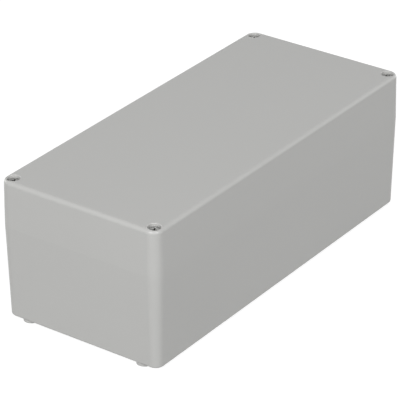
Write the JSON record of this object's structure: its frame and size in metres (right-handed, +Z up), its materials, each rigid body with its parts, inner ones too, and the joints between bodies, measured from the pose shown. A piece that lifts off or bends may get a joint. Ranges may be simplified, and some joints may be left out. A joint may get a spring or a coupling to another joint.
{
  "type": "polycarbonate enclosure",
  "caption": "Deep rectangular plastic enclosure with a sealed lid on captive corner screws, wall-mounting channels, board bosses and card guides inside.",
  "frame": {"origin": "centre of the plane that the feet stand on, under the middle of the housing", "axes": "+X along the length, +Y across the width, +Z up out of the lid"},
  "size_m": [0.25, 0.111, 0.0896],
  "materials": {
    "housing": "light-grey moulded polycarbonate, fine satin texture",
    "stainless": "plain stainless steel",
    "brass": "turned brass with knurled bands",
    "seal": "soft dark-grey seal"
  },
  "bodies": {
    "base": {"base": "housing", "column_insert_1": "brass", "column_insert_2": "brass", "column_insert_3": "brass", "column_insert_4": "brass", "boss_insert_1": "brass", "boss_insert_2": "brass", "boss_insert_3": "brass", "boss_insert_4": "brass", "boss_insert_5": "brass", "boss_insert_6": "brass"},
    "lid": {"lid": "housing", "gasket": "seal"},
    "clip_1": {"retaining_clip_1": "stainless"},
    "screw_1": {"lid_screw_1": "stainless"},
    "clip_2": {"retaining_clip_2": "stainless"},
    "screw_2": {"lid_screw_2": "stainless"},
    "clip_3": {"retaining_clip_3": "stainless"},
    "screw_3": {"lid_screw_3": "stainless"},
    "clip_4": {"retaining_clip_4": "stainless"},
    "screw_4": {"lid_screw_4": "stainless"}
  },
  "joints": [
    {"name": "lid_lift", "type": "slide", "parent": "base", "child": "lid", "axis": [0, 0, 1], "range_m": [0, 0.08]},
    {"name": "clip_1_rise", "type": "slide", "parent": "lid", "child": "clip_1", "axis": [0, 0, 1], "range_m": [0, 0.0112]},
    {"name": "screw_1_turn", "type": "hinge", "parent": "clip_1", "child": "screw_1", "pos_m": [-0.1185, -0.0493, 0.085], "axis": [0, 0, 1], "range_deg": [0, 5760]},
    {"name": "clip_2_rise", "type": "slide", "parent": "lid", "child": "clip_2", "axis": [0, 0, 1], "range_m": [0, 0.0112]},
    {"name": "screw_2_turn", "type": "hinge", "parent": "clip_2", "child": "screw_2", "pos_m": [0.1185, -0.0493, 0.085], "axis": [0, 0, 1], "range_deg": [0, 5760]},
    {"name": "clip_3_rise", "type": "slide", "parent": "lid", "child": "clip_3", "axis": [0, 0, 1], "range_m": [0, 0.0112]},
    {"name": "screw_3_turn", "type": "hinge", "parent": "clip_3", "child": "screw_3", "pos_m": [0.1185, 0.0493, 0.085], "axis": [0, 0, 1], "range_deg": [0, 5760]},
    {"name": "clip_4_rise", "type": "slide", "parent": "lid", "child": "clip_4", "axis": [0, 0, 1], "range_m": [0, 0.0112]},
    {"name": "screw_4_turn", "type": "hinge", "parent": "clip_4", "child": "screw_4", "pos_m": [-0.1185, 0.0493, 0.085], "axis": [0, 0, 1], "range_deg": [0, 5760]}
  ],
  "couplings": [
    {"joint": "screw_1_turn", "follows": "clip_1_rise", "rad_per_m": 8976},
    {"joint": "screw_2_turn", "follows": "clip_2_rise", "rad_per_m": 8976},
    {"joint": "screw_3_turn", "follows": "clip_3_rise", "rad_per_m": 8976},
    {"joint": "screw_4_turn", "follows": "clip_4_rise", "rad_per_m": 8976}
  ]
}
